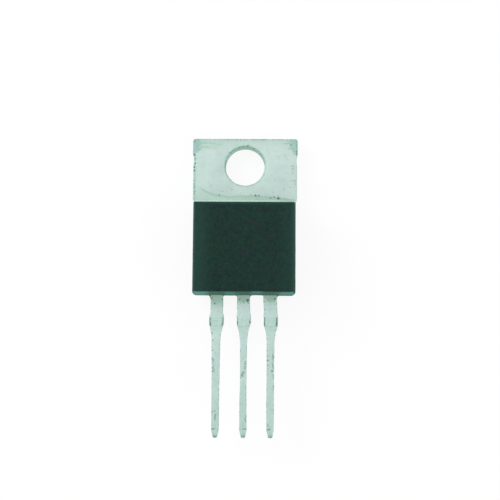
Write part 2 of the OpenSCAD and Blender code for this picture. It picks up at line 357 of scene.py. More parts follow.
def tab_marks(g, front, mottle):
    """Scratches, nicks and dark specks, each at its own place on the tab."""
    scratches = g.most(
        g.line((-4.5, 2.31), (-3.75, 2.25), 0.17), g.line((-3.75, 2.23), (-2.95, 2.2), 0.1),
        g.line((-2.95, 2.18), (-2.27, 2.13), 0.05), g.line((-4.31, 1.87), (-3.65, 1.83), 0.12),
        g.line((-3.65, 1.83), (-3.3, 1.83), 0.05), g.line((3.76, 2.25), (4.4, 2.22), 0.1),
        g.line((4.2, 1.71), (4.7, 1.74), 0.1))
    nicks = g.most(
        g.line((4.5, 0.03), (4.85, 0.03), 0.07), g.line((4.5, -0.26), (4.74, -0.26), 0.06),
        g.line((4.6, -0.46), (4.6, -0.76), 0.06), g.line((4.36, -1.4), (4.87, -1.43), 0.06),
        g.line((4.87, -1.44), (4.87, -1.85), 0.07))
    g.paint(g.times(scratches, front, g.ramp(mottle, 0.25, 0.45), 0.95), TIN_GREEN)
    g.paint(g.times(nicks, front, 0.65), TIN_STAIN)
    marks = g.most(
        g.dot(3.24, -3.15, 0.16), g.dot(2.85, -3.03, 0.11), g.dot(2.49, -3.11, 0.09), g.dot(1.04, -2.87, 0.11),
        g.dot(1.36, -2.87, 0.09), g.dot(-2.48, -2.89, 0.1), g.dot(0.23, 2.03, 0.1), g.dot(-4.9, 1.09, 0.14),
        g.dot(-4.88, 0.2, 0.12), g.dot(-4.92, -0.11, 0.13), g.dot(-4.92, -0.45, 0.12), g.dot(-4.92, -1.78, 0.1),
        g.dot(-4.86, -2.5, 0.1))
    faint = g.most(
        g.dot(1.22, -3.07, 0.1), g.dot(3.26, -2.89, 0.08), g.dot(0.53, -2.78, 0.08), g.dot(-1.27, -2.29, 0.1),
        g.dot(-3.32, -1.96, 0.1), g.dot(-3.5, -1.69, 0.08), g.dot(2.87, -1.36, 0.08), g.dot(4.4, -2.06, 0.1),
        g.dot(3.77, -2.2, 0.08), g.dot(-1.53, 1.29, 0.12), g.dot(-2.17, -2.47, 0.08), g.dot(2.71, -2.59, 0.08))
    side_marks = g.most(
        g.dot(-4.88, 0.68, 0.16), g.dot(-4.86, 0.28, 0.14), g.dot(-4.93, -1.44, 0.1), g.dot(-4.95, -2.12, 0.13),
        g.dot(-4.94, -2.71, 0.1), g.dot(-5, -3.2, 0.1), g.dot(-4.94, 2.42, 0.13),
        g.dot(4.44, 2.06, 0.12))
    g.paint(g.times(faint, front, 0.4), TIN_DARK)
    g.paint(g.times(side_marks, front, 0.6), TIN_DARK)
    g.paint(g.times(marks, front, 0.85), SPECK)
    g.raise_by(scratches, -3)
    g.raise_by(marks, -8)


def tab_material():
    g = Graph("tinned_tab_metal", TIN)
    rolling, mottle = tin_surface(g, 3)
    front = g.ramp(g.z, TAB_T - 0.2, TAB_T - 0.04)
    side = g.size_of(g.x)
    reach = g.less(TAB_W / 2, side)

    # Darker towards the top edge and the left
    g.paint(g.times(g.ramp(g.y, TAB_TOP - 1.1, TAB_TOP - 0.1), 0.6), TIN_SHADE)
    # Painted shade: a thin dark, greener line along the rolled top edge
    g.paint(g.times(g.ramp(g.y, TAB_TOP - 0.4, TAB_TOP - 0.12), g.ramp(mottle, 0.3, 0.6), 0.35), TIN_GREEN)
    g.paint(g.times(g.ramp(g.y, TAB_TOP - 0.2, TAB_TOP - 0.1), g.ramp(mottle, 0.42, 0.58), front, 0.6), TIN_DARK)
    g.paint(g.times(g.ramp(g.x, -3.2, -4.8), 0.35), TIN_SHADE)
    g.paint(g.times(g.ramp(g.x, -1.5, -2.8), g.ramp(g.y, 1.3, 1.9), 0.6), TIN_SHADE)

    # A soft stain. The tab is painted darker towards the body, and below the stain darker still and greener on the
    # right: partly the stain's ground and partly painted shade next to the body
    g.paint(g.times(g.ramp(g.y, -0.8, -2.4), front, 0.2), TIN_SHADE)
    height = stain_height(g)
    along = g.ramp(g.x, -4.6, -4.0)
    right_part = g.ramp(g.x, -1.6, 0)
    # Below the stain: partly stain and partly painted shade next to the body
    below = g.times(g.ramp(height, 0.02, -0.12), front)
    g.paint(g.times(below, 0.3), TIN_SHADE)
    g.paint(g.times(below, right_part, g.ramp(g.y, -3.4, -3.3), 0.46), TIN_GREEN)
    tide = g.times(g.ramp(height, 0.07, -0.02), g.ramp(height, -0.26, -0.06), along, front)
    g.paint(g.times(tide, g.plus(g.times(right_part, 0.13), 0.2)), TIN_STAIN)
    g.paint(g.times(g.ramp(height, 0.12, 0), g.ramp(height, -0.3, -0.1), along, front, g.less(1, right_part), 0.5),
            TIN_GREEN)

    # Thin bright line across the tab just above the body
    bright_line = g.times(g.ramp(g.size_of(g.plus(g.y, 3.41)), 0.1, 0.04), front)
    g.paint(g.times(bright_line, 0.8), TIN_LINE_BRIGHT)
    g.paint(g.times(bright_line, g.ramp(g.x, 2.6, 4.4), 0.6), TIN_GREEN)

    # Blotches in the two top corners, and dull bands down the sides
    corner_w = g.times(g.ramp(g.y, 0.8, 1.8), 0.78)
    ragged = g.times(g.less(mottle, 0.5), 1.3)
    corner = g.ramp(g.plus(g.less(reach, corner_w), ragged), 0.25, -0.25)
    patches = g.grain(3.2, 3, 0.6, shift=9)
    left_part = g.ramp(g.x, 2, -2)
    band_w = g.plus(g.times(left_part, 0.3), 0.14)
    band = g.ramp(g.plus(reach, g.times(ragged, 0.3)), band_w, 0.06)
    mostly_front = g.plus(g.times(front, 0.75), 0.25)
    corner = g.times(corner, g.ramp(g.y, 0.8, 1.2), mostly_front)
    below_ear = g.ramp(g.y, TAB_TOP - EAR_L + 0.5, TAB_TOP - EAR_L - 0.1)
    g.paint(g.times(band, g.plus(g.times(left_part, 0.6), 0.3), mostly_front, g.plus(g.times(below_ear, 0.6), 0.4)),
            TIN_BAND)
    g.paint(g.times(band, left_part, g.ramp(g.y, 0.3, -0.8), 0.5), TIN_GREEN)
    g.paint(g.times(corner, g.ramp(patches, 0.1, 0.5), 0.88), TIN_BLUE)
    g.paint(g.times(corner, g.ramp(patches, 0.5, 0.3), 0.4), TIN_GREEN)
    g.paint(g.times(corner, left_part, 0.5), TIN_CORNER)

    # The hole: a ring of painted shade where its rim is rolled over, heaviest at the top, and a darker wall
    radius = g.vector("LENGTH", g.flat)
    shade_at_top = g.plus(g.times(g.ramp(g.y, -1, 1.2), 0.4), 0.2)
    g.paint(g.times(g.ramp(radius, HOLE_R + 0.27, HOLE_R + 0.1), shade_at_top), TIN_BLUE)
    g.paint(g.ramp(radius, HOLE_R + 0.07, HOLE_R + 0.03), HOLE_WALL)
    g.paint(g.times(g.ramp(radius, HOLE_R + 0.1, HOLE_R + 0.05), g.ramp(mottle, 0.45, 0.6), 0.5), TIN_STAIN)

    # Painted shade along the rolled edges of the tab and of its hole
    shade_rolled_rim(g, mottle, 0.75)
    tab_marks(g, front, mottle)
    # Painted shade: a broken dark line along the upper part of the rolled right edge
    edge_shade_line = g.times(g.line((TAB_W / 2 - 0.1, 2.5), (TAB_W / 2 - 0.1, 1.05), 0.06), g.ramp(mottle, 0.3, 0.5))
    g.paint(g.times(edge_shade_line, front, 0.45), TIN_DARK)
    g.paint(g.times(g.line((TAB_W / 2 - 0.1, 1.5), (TAB_W / 2 - 0.1, 1.1), 0.08), front, 0.45), SPECK)

    # The torn lower part of the punched edges is duller than the burnished part above it
    torn = g.times(g.ramp(g.z, TAB_T * 0.42, TAB_T * 0.36), g.ramp(g.z, 0, 0.03))
    g.paint(g.times(torn, g.ramp(mottle, 0.25, 0.6), 0.5), TIN_BLUE)
    g.raise_by(g.grain(9, 2, 0.5, stretch=(1, 1, 0.12)), 7)
    rough = g.plus(0.36, g.times(g.plus(rolling, g.times(corner, 0.6)), 0.16),
                   g.times(g.ramp(radius, HOLE_R + 0.3, HOLE_R + 0.1), 0.25))
    return g.finish(0.9, rough)


def resin_bleed(g, across, mottle, front, bleed):
    """A film of resin that crept out along the lead. Its end is soft, rounded or dotted, and the film
    thicker or thinner, as bleed says."""
    end, roundness, soft, rim, thickness = bleed
    crept = g.plus(g.y, g.times(g.math("POWER", across, 2), -roundness), g.times(g.less(mottle, 0.5), 0.16))
    film = g.times(g.ramp(crept, end - soft, end + soft), g.ramp(g.z, LEAD_BACK, LEAD_BACK + 0.05))
    away = g.plus(g.times(g.ramp(g.y, BODY_END - 0.1, BODY_END - 0.4), 0.35), 0.65)
    g.paint(g.times(film, away, g.plus(g.times(g.ramp(crept, end + 0.1, end + 0.5), 0.3), 0.5), thickness),
            BLEED)
    middle = g.times(g.ramp(g.size_of(across), 0.45, 0.15), g.ramp(g.y, BODY_END - 0.1, BODY_END - 0.3))
    g.paint(g.times(film, middle, roundness, 0.35), BLEED_PALE)
    line = g.ramp(g.size_of(g.less(crept, end)), 0.08, 0.02)
    g.paint(g.times(line, front, g.ramp(g.grain(7, 2), 0.5, 0.6), rim), CUT_METAL)
    g.raise_by(film, 6)


def cut_stub(g, across, mottle, front, stub):
    """Where the tie bar was sheared off: worn strips along both sides, darkest at their lower ends, a faint
    step and mark across, and greener metal below. The numbers in stub say how dark the left and right
    strips are, then their ends, and then the mark."""
    left, right, left_end, right_end, mark_share = stub
    side = g.size_of(across)
    rightness = g.ramp(across, -0.1, 0.1)
    stub_end = BODY_END - ROOT_L - STUB_L
    length = g.times(g.ramp(g.y, stub_end - 0.3, stub_end - 0.18), g.ramp(g.y, stub_end + 0.72, stub_end + 0.45))
    strip = g.times(g.ramp(g.size_of(g.less(side, STUB_W / 2 - 0.1)), 0.12, 0.04), length)
    worn_sides = g.plus(g.times(rightness, right - left), left)
    dark_ends = g.times(g.ramp(g.y, stub_end + 0.12, stub_end - 0.06), g.plus(g.times(rightness, right_end - left_end), left_end))
    g.paint(g.times(strip, g.ramp(mottle, 0.3, 0.5), worn_sides), CUT_METAL)
    g.paint(g.times(strip, dark_ends), SPECK)
    below = g.times(g.ramp(g.y, stub_end - 0.9, stub_end - 0.5), g.ramp(g.y, stub_end - 0.15, stub_end - 0.3), front)
    g.paint(g.times(below, g.ramp(mottle, 0.3, 0.6), 0.35), TIN_GREEN)
    step = g.ramp(g.size_of(g.less(g.y, stub_end - 0.2)), 0.07, 0.02)
    mark = g.times(g.ramp(g.size_of(g.less(g.y, stub_end + 0.28)), 0.08, 0.02), mark_share)
    g.paint(g.times(g.most(step, mark), front, g.ramp(mottle, 0.25, 0.6), 0.45), TIN_STAIN)
    worn = g.times(length, g.ramp(mottle, 0.4, 0.6))
    g.paint(g.times(worn, front, 0.35), TIN_GREEN)


def lead_material(name, centre, bleed, stub, dots, smears, coin_side):
    """Tinned lead: resin bleed at the root, worn stub, dotted edges, and a coined line by the tip."""
    g = Graph(name, LEAD_TIN)
    rolling, mottle = tin_surface(g, 20 + centre * 7)
    across = g.less(g.x, centre)
    front = g.ramp(g.z, LEAD_FRONT - 0.12, LEAD_FRONT - 0.02)
    pale = g.times(g.ramp(g.y, BODY_END - 0.75, BODY_END - 1.1), g.ramp(g.y, -18, -15))
    g.paint(g.times(pale, 0.6), LEAD_PALE)
    patches = g.grain(2.6, 3, 0.65, shift=31 + centre)
    g.paint(g.times(g.ramp(patches, 0.5, 0.66), 0.3), TIN_BLUE)
    g.paint(g.times(g.ramp(patches, 0.48, 0.34), 0.28), TIN_GREEN)
    resin_bleed(g, across, mottle, front, bleed)
    cut_stub(g, across, mottle, front, stub)
    # Painted shade along the rolled edges of the lead
    shade_rolled_rim(g, mottle, 0.8)

    # Dark pits along the edges, and a darker last stretch
    edge = g.times(g.ramp(g.normal[2], 0.995, 0.9), g.ramp(g.normal[2], 0.05, 0.2))
    g.paint(g.times(edge, g.specks(2.6, 0.16, 0.6, 8 + centre), 0.8), SPECK)
    rim = g.times(g.ramp(g.size_of(across), 0.2, 0.3), g.ramp(g.y, -16.8, -17.4), front)
    g.paint(g.times(rim, g.specks(3.2, 0.12, 0.85, 5 + centre), 0.7), CUT_METAL)
    g.paint(g.times(g.ramp(g.y, -20.5, -23), 0.16), TIN_GREEN)
    g.paint(g.times(g.ramp(g.y, -24.2, -25.2), g.ramp(mottle, 0.38, 0.6), 0.4), TIN_BLUE)
    g.paint(g.times(g.ramp(g.y, LEAD_TIP + 0.4, LEAD_TIP + 0.1), g.ramp(mottle, 0.2, 0.5), 0.6), TIN_DARK)

    # Marks at their own places on this lead
    coined = g.times(g.line((centre + coin_side - 0.15, -25.07), (centre + coin_side + 0.15, -25.07), 0.09), front)
    dark = g.most(*(g.dot(x, y, r) for x, y, r in dots))
    smeared = g.most(*(g.line(start, end, half_width) for start, end, half_width in smears))
    g.paint(g.times(coined, 0.7), CUT_METAL)
    g.paint(g.times(smeared, front, g.ramp(mottle, 0.3, 0.55), 0.6), CUT_METAL)
    g.paint(g.times(dark, front, 0.8), SPECK)
    g.raise_by(g.grain(9, 2, 0.5, stretch=(1, 1, 0.12), shift=centre), 5)
    g.raise_by(coined, -15)
    g.raise_by(dark, -6)
    return g.finish(0.9, g.plus(0.38, g.times(rolling, 0.16)))


EPOXY = paint_of(26, 48, 44)
EPOXY_PALE = paint_of(36, 59, 52)
EPOXY_DEEP = paint_of(21, 34, 30)
EPOXY_GREEN = paint_of(26, 57, 42)
EPOXY_GREY = paint_of(39, 49, 50)
EPOXY_SIDE_LIT = paint_of(43, 78, 69)
EPOXY_WALL = paint_of(44, 83, 76)
EPOXY_END_LIT = paint_of(86, 134, 124)
EPOXY_END_LIT_PALE = paint_of(108, 154, 148)
EPOXY_LEAD_REFLECTION = paint_of(72, 106, 86)
EPOXY_SEAM = paint_of(52, 84, 77)
EPOXY_SEAM_PALE = paint_of(58, 94, 86)
EPOXY_FLASH = paint_of(130, 166, 150)
FILLER = paint_of(70, 100, 92)


def epoxy_material():
    """Filled moulding compound: spark-eroded grain on the faces, smoother drafted walls, rubbed edges."""
    g = Graph("moulding_compound", EPOXY)
    side = g.size_of(g.x)
    clouds = g.grain(0.28, 3, 0.55)
    mottle = g.grain(2.4, 4, 0.65)
    grain = g.grain(9, 3, 0.6)
    fine = g.grain(26, 2, 0.6)
    facing = g.size_of(g.normal[2])
    wall = g.ramp(facing, 0.75, 0.35)
    flat = g.less(1, wall)
    end = g.ramp(g.normal[1], -0.45, -0.85)

    tints = g.grain(1.1, 4, 0.7, shift=17)
    g.paint(g.times(g.ramp(clouds, 0.4, 0.7), 0.35), EPOXY_PALE)
    g.paint(g.times(g.ramp(tints, 0.51, 0.62), 0.65), EPOXY_GREEN)
    g.paint(g.times(g.ramp(tints, 0.49, 0.38), 0.65), EPOXY_GREY)
    g.paint(g.times(g.ramp(mottle, 0.45, 0.7), 0.4), EPOXY_PALE)
    g.paint(g.times(g.ramp(mottle, 0.5, 0.3), 0.5), EPOXY_DEEP)
    g.paint(g.times(g.ramp(grain, 0.5, 0.7), flat, 0.8), EPOXY_PALE)
    g.paint(g.times(g.ramp(grain, 0.5, 0.3), flat, 0.6), EPOXY_DEEP)
    # Painted light: the face is lighter near its sides and top edge, more so on the left where light falls
    rim = g.most(g.ramp(side, BODY_W / 2 - 0.75, BODY_W / 2 - 0.3), g.ramp(g.y, BODY_START - 0.75, BODY_START - 0.45))
    left_part = g.ramp(g.x, 2, -2)
    lit_border = g.times(g.ramp(side, BODY_W / 2 - 2.2, BODY_W / 2 - 0.5), g.plus(g.times(left_part, 0.15), 0.2))
    g.paint(g.times(g.most(g.times(rim, 0.5), lit_border), flat), EPOXY_SIDE_LIT)
    g.paint(g.times(g.specks(1.2, 0.06, 0.3, 4), flat, 0.4), FILLER)
    # The drafted walls are lighter than the face, and painted lighter still on the left as painted light
    g.paint(g.times(wall, g.plus(g.times(left_part, 0.3), 0.45)), EPOXY_WALL)
    g.paint(g.times(g.ramp(grain, 0.52, 0.68), wall, 0.4), EPOXY_SEAM_PALE)
    g.paint(g.times(g.ramp(grain, 0.48, 0.32), wall, 0.4), EPOXY_PALE)

    # Painted light makes the end wall paler, above the parting line most of all, and painted reflections of the leads
    # darken it in front of each lead
    end = g.times(end, g.plus(g.times(g.ramp(g.z, PART_Z - 0.9, PART_Z - 0.2), 0.6), 0.4))
    g.paint(g.times(end, g.ramp(mottle, 0.1, 0.45), 0.9), EPOXY_END_LIT)
    pale = g.times(g.ramp(side, 2.8, 4.1), g.ramp(mottle, 0.2, 0.5), g.plus(g.times(left_part, 0.3), 0.5))
    g.paint(g.times(end, pale), EPOXY_END_LIT_PALE)
    # Painted reflection of each lead on the end wall in front of it
    for x in (-PITCH, 0, PITCH):
        cloud = g.grain(2.2, 4, 0.6, stretch=(1, 1, 0.6), shift=x)
        reach = g.plus(g.size_of(g.less(g.x, x)), g.times(g.less(0.5, cloud), 1.6))
        lead_reflection = g.times(g.ramp(reach, 0.95, 0.55), g.ramp(g.z, PART_Z - 0.6, PART_Z - 0.1))
        g.paint(g.times(end, lead_reflection, g.plus(g.times(g.ramp(cloud, 0.3, 0.6), 0.3), 0.6)), EPOXY_LEAD_REFLECTION)
    seam = g.ramp(g.less(g.z, PART_Z), 0.3, 0.12)
    g.paint(g.times(seam, g.ramp(g.z, PART_Z - 0.1, PART_Z - 0.02), wall, 0.7), EPOXY_SEAM)
    g.paint(g.ramp(g.y, BODY_END - 0.005, BODY_END - 0.03), EPOXY_FLASH)

    # Rubbed edges round the front, and scuffs that handling leaves across it
    edge = g.times(g.ramp(g.z, BODY_FRONT - 0.14, BODY_FRONT - 0.05), g.ramp(facing, 0.97, 0.7))
    g.paint(g.times(edge, g.ramp(mottle, 0.3, 0.6), 0.4), EPOXY_WALL)
    scuffs = g.ramp(g.grain(0.9, 4, 0.7, stretch=(0.5, 2.6, 1), shift=11), 0.62, 0.8)
    g.paint(g.times(scuffs, flat, 0.2), EPOXY_WALL)
    g.raise_by(clouds, 25)
    g.raise_by(mottle, 5)
    g.raise_by(g.times(grain, flat), 9)
    g.raise_by(g.times(fine, flat), 3)
    g.raise_by(g.times(g.grain(6, 3, 0.5, stretch=(1, 1, 0.15)), wall), 4)
    g.raise_by(g.times(grain, wall), 4)
    rough = g.plus(0.78, g.times(flat, g.plus(-0.16, g.times(grain, 0.12))))
    return g.finish(0.0, rough, 0.05)


def silicon_material():
    """Polished die with faint blocks of circuit and a bare border."""
    g = Graph("silicon", paint_of(104, 108, 124))
    blocks = g.node("ShaderNodeTexVoronoi", {"distance": "CHEBYCHEV"}, Vector=g.place, Scale=2.4)
    tone = g.node("ShaderNodeSeparateColor", Color=blocks.outputs["Color"]).outputs[0]
    g.paint(g.times(tone, 0.5), paint_of(126, 112, 132))
    g.paint(g.times(g.ramp(blocks.outputs["Distance"], 0.42, 0.48), 0.5), paint_of(150, 156, 166))
    g.raise_by(g.grain(20, 2), 0.5)
    return g.finish(0.1, g.plus(0.16, g.times(tone, 0.1)))


def solder_material():
    g = Graph("die_attach_solder", paint_of(178, 184, 184))
    lumps = g.grain(6, 3)
    g.paint(g.times(g.ramp(lumps, 0.4, 0.7), 0.5), paint_of(140, 148, 150))
    g.raise_by(lumps, 6)
    return g.finish(0.9, g.plus(0.3, g.times(lumps, 0.3)))


def wire_material():
    """Drawn aluminium wire with lines along it."""
    g = Graph("drawn_bond_wire", paint_of(212, 214, 216))
    drawn = g.grain(30, 2, 0.5, stretch=(1, 0.2, 1))
    g.paint(g.times(g.ramp(drawn, 0.45, 0.7), 0.4), paint_of(176, 180, 184))
    g.raise_by(drawn, 1.5)
    return g.finish(0.9, g.plus(0.28, g.times(drawn, 0.2)))


# Outlines in X and Y, counter-clockwise, in millimetres

def arc(centre, radius, start, end, steps):
    """Points of a round corner between two bearings in degrees."""
    bearings = (math.radians(start + (end - start) * i / steps) for i in range(steps + 1))
    return [Vector((centre[0] + radius * math.cos(b), centre[1] + radius * math.sin(b))) for b in bearings]


def mirrored(points):
    return [Vector((-p.x, p.y)) for p in reversed(points)]


def resample(points, step):
    """The same outline with points close together along its straights."""
    out = []
    for here, after in zip(points, points[1:] + points[:1]):
        parts = max(1, round((after - here).length / step))
        out += [here.lerp(after, i / parts) for i in range(parts)]
    return out


def soften(points, rounds, share=0.25):
    """Rounds the corners of a closely sampled outline."""
    for _ in range(rounds):
        points = [p.lerp((a + b) / 2, share * 2)
                  for a, p, b in zip(points[-1:] + points[:-1], points, points[1:] + points[:1])]
    return points


def outward(points):
    """At each point, the way out of the material, longer at a corner so that an inset keeps its width."""
    out = []
    for before, here, after in zip(points[-1:] + points[:-1], points, points[1:] + points[:1]):
        first = (here - before).normalized()
        second = (after - here).normalized()
        way = Vector((first.y + second.y, -first.x - second.x)).normalized()
        turn = way.dot(Vector((first.y, -first.x)))
        out.append(way / max(turn, 0.5))
    return out


# Meshes

class Solid:
    """Points and faces of one piece in the making, in millimetres."""

    def __init__(self):
        self.points = []
        self.faces = []

    def ring(self, points):
        first = len(self.points)
        self.points += points
        return range(first, len(self.points))

    def join(self, low, high):
        """Quads from one ring up to the next."""
        for i in range(len(low)):
            j = (i + 1) % len(low)
            self.faces.append((low[i], low[j], high[j], high[i]))

    def cap(self, rings, up):
        """Closes one level. The first ring is the outside and the others are round holes."""
        places, edges, owner = [], [], []
        for ring in rings:
            first = len(places)
            places += [Vector(self.points[i][:2]) for i in ring]
            owner += ring
            edges += [(first + i, first + (i + 1) % len(ring)) for i in range(len(ring))]
        triangles = delaunay_2d_cdt(places, edges, [], 1, 1e-7)[2]
        for triangle in triangles:
            face = [owner[i] for i in triangle]
            if any(all(i in ring for i in face) for ring in rings[1:]):
                continue
            self.faces.append(tuple(face if up else reversed(face)))

    def make(self, name, material, slot, *nodes, crease=32):
        mesh = bpy.data.meshes.new(name)
        mesh.from_pydata([Vector(p) * MM for p in self.points], [], self.faces)
        mesh.validate()
        mesh.polygons.foreach_set("use_smooth", [True] * len(mesh.polygons))
        mesh.set_sharp_from_angle(angle=math.radians(crease))
        mesh.materials.append(material)
        piece = bpy.data.objects.new(name, mesh)
        bpy.context.scene.collection.objects.link(piece)
        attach(piece, "root")
        if nodes:
            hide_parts(*nodes)
        return piece


def edge_levels(back, front, roll, steps=6):
    """Height, inset and tearing of a punched edge: a small chamfer, the torn part, the burnished part, the roll."""
    thickness = front - back
    nick = 0.02
    levels = [(back, nick, 0), (back + nick, 0, 0.5)]
    levels += [(back + thickness * share, 0, 1) for share in (0.12, 0.22, 0.32)]
    levels += [(back + thickness * 0.36, 0.006, 0.6), (back + thickness * 0.4, 0.008, 0.1)]
    for i in range(steps + 1):
        bearing = math.radians(90 * i / steps)
        levels.append((front - roll + roll * math.sin(bearing), 0.008 + roll * (1 - math.cos(bearing)), 0.1))
    return levels


TEAR = 0.022


def punched(solid, loops, back, front, seed):
    """Adds sheet metal cut out by a punch. Each loop is an outline and the roll of its front edge."""
    lowest, highest = [], []
    for outline, roll in loops:
        ways = outward(outline)
        rings = []
        for z, inset, tear in edge_levels(back, front, roll):
            ring = []
            for p, way in zip(outline, ways):
                bite = abs(noise.noise(Vector((p.x * 4 + seed, p.y * 4, z * 3)))) * TEAR * tear
                spot = p - way * (inset + bite)
                ring.append((spot.x, spot.y, z))
            rings.append(solid.ring(ring))
        for low, high in zip(rings, rings[1:]):
            solid.join(low, high)
        lowest.append(rings[0])
        highest.append(rings[-1])
    solid.cap(lowest, False)
    solid.cap(highest, True)


def tab_outline():
    side = TAB_W / 2 - EAR_OUT
    ear_y = TAB_TOP - EAR_L
    right = [Vector(p) for p in (
        (PAD_W / 2, PAD_END), (PAD_W / 2, BODY_START - 0.2), (BODY_W / 2 - 0.1, BODY_START - 0.2),
        (BODY_W / 2 - 0.02, BODY_START + 0.05), (side, BODY_START + 0.3), (side, ear_y - NOTCH_L),
        (side - NOTCH_D, ear_y - NOTCH_L + 0.12), (side - NOTCH_D, ear_y - 0.06), (TAB_W / 2, ear_y + 0.04))]
    right += arc((TAB_W / 2 - TAB_CORNER_R, TAB_TOP - TAB_CORNER_R), TAB_CORNER_R, 0, 90, 6)
    return soften(resample(right + mirrored(right), 0.1), 2)


def hole_outline(steps=128):
    return [Vector((HOLE_R * math.cos(a), -HOLE_R * math.sin(a)))
            for a in (math.tau * i / steps for i in range(steps))]


def lead_outline(widths, shifts, bumps, seed):
    """A lead from inside the body to its tip. Real leads differ a little in width and place: widths gives
    the root's, the blade's at its neck, the blade's at its tip and how much less it is between, and shifts
    the root's, the stub's and the blade's. A bump is a short stretch of one side, given by that side, its
    place, half its length and how far it stands out."""
    root, upper, lower, waist = widths
    half = LEAD_W / 2
    stub_y = BODY_END - ROOT_L
    neck_y = stub_y - STUB_L
    turn = math.degrees(math.acos(1 - (STUB_W / 2 - half) / NECK_R))
    neck_end = neck_y - NECK_R * math.sin(math.radians(turn))
    right = [Vector((TIP_W / 2, LEAD_TIP)), Vector((half, LEAD_TIP + TIP_L))]
    right += arc((half + NECK_R, neck_end), NECK_R, 180, 180 - turn, 12)
    right += [Vector(p) for p in (
        (STUB_W / 2, stub_y), (ROOT_W / 2, stub_y + STUB_SLOPE), (ROOT_W / 2, ROOT_START))]
    out = []
    for p in soften(resample(right + mirrored(right), 0.07), 2):
        down = min(max((BODY_END - p.y) / (BODY_END - neck_end), 0), 1)
        along = min(max((neck_end - p.y) / (neck_end - LEAD_TIP), 0), 1)
        blade = lower + (upper - lower) * (1 - along) ** 3 - waist * math.sin(math.pi * along)
        narrowed = min(max((neck_y - p.y) / (neck_y - neck_end), 0), 1)
        width = 1 + narrowed * (blade / LEAD_W - 1)
        if p.y > stub_y + STUB_SLOPE / 2:
            width = root / ROOT_W
        stage = min(int(down * 2), 1)
        shift = shifts[stage] + (shifts[stage + 1] - shifts[stage]) * (down * 2 - stage)
        wander = noise.noise(Vector((seed + math.copysign(7, p.x), p.y * 1.3, 0))) * 0.016
        local = sum(side * size * math.exp(-((p.y - y) / half_length) ** 2)
                    for side, y, half_length, size in bumps if side * p.x > 0)
        out.append(Vector((p.x * width + shift + wander + local, max(p.y, LEAD_TIP))))
    return out


def thin_tip(solid):
    """Takes the last of a lead down in thickness towards its end."""
    start = LEAD_TIP + 0.55
    for i, (x, y, z) in enumerate(solid.points):
        if y < start:
            share = ((start - y) / (start - LEAD_TIP)) ** 2
            solid.points[i] = (x, y, PART_Z + (z - PART_Z) * (1 - 0.38 * share))


def moved(outline, x):
    return [Vector((p.x + x, p.y)) for p in outline]


def bonding_post(side):
    """The wide end inside the body that the wires are bonded to, with its locking notches."""
    middle = (ROOT_START + POST_END) / 2 - 0.25
    loop = [Vector((POST_IN, ROOT_START)), Vector((POST_OUT, ROOT_START))]
    loop += arc((POST_OUT, middle), POST_NOTCH_R, 270, 90, 8)
    loop += [Vector((POST_OUT, POST_END)), Vector((POST_IN, POST_END))]
    loop += arc((POST_IN, middle), POST_NOTCH_R, 90, -90, 8)
    return loop if side > 0 else mirrored(loop)


def ground_web():
    """Side profile, in Y and Z, of the strip that climbs from the pad to the leads."""
    thickness = LEAD_FRONT - LEAD_BACK
    lean = thickness * 0.5
    return [(PAD_END, TAB_T - thickness), (WEB_FOOT_Y, TAB_T - thickness), (WEB_TOP_Y, LEAD_BACK),
            (ROOT_START, LEAD_BACK), (ROOT_START, LEAD_FRONT), (WEB_TOP_Y + lean, LEAD_FRONT),
            (WEB_FOOT_Y + lean, TAB_T), (PAD_END, TAB_T)]


def add_web(solid):
    profile = ground_web()
    roll = 0.05
    rings = []
    for x, inset in ((-WEB_W / 2, roll), (-WEB_W / 2 + roll, 0), (WEB_W / 2 - roll, 0), (WEB_W / 2, roll)):
        ring = [Vector(p) for p in profile]
        ways = outward(ring)
        rings.append(solid.ring([(x, (p - w * inset).x, (p - w * inset).y) for p, w in zip(ring, ways)]))
    for low, high in zip(rings, rings[1:]):
        solid.join(high, low)
    solid.faces.append(tuple(rings[0]))
    solid.faces.append(tuple(reversed(rings[-1])))


def make_tab(tab_metal, lead_metal):
    plate = Solid()
    punched(plate, [(tab_outline(), TAB_ROLL), (hole_outline(), HOLE_ROLL)], 0, TAB_T, 1)
    add_web(plate)
    plate.make("tab_and_chip_pad", tab_metal, "tinned_tab", "tab_with_ground_lead")
    lead = Solid()
    bumps = ((1, -15.4, 0.11, -0.07), (1, -16, 0.35, -0.03), (1, -20, 3.5, -0.022),
             (-1, -14.98, 0.3, -0.045), (-1, -22.8, 1.3, 0.03))
    outline = lead_outline((1.22, 0.66, 0.7, 0.07), (-0.026, 0.03, 0.03), bumps, 11)
    punched(lead, [(outline, LEAD_ROLL)], LEAD_BACK, LEAD_FRONT, 2)
    thin_tip(lead)
    lead.make("ground_lead_blade", lead_metal, "tinned_tab", "tab_with_ground_lead")


def make_lead(name, node, side, widths, shifts, bumps, seed, metal):
    lead = Solid()
    outline = lead_outline(widths, shifts, bumps, seed)
    punched(lead, [(moved(outline, side * PITCH), LEAD_ROLL)], LEAD_BACK, LEAD_FRONT, seed)
    thin_tip(lead)
    punched(lead, [(bonding_post(side), LEAD_ROLL)], LEAD_BACK, LEAD_FRONT, seed)
    lead.make(name, metal, "tinned_lead", node)


# Moulded body

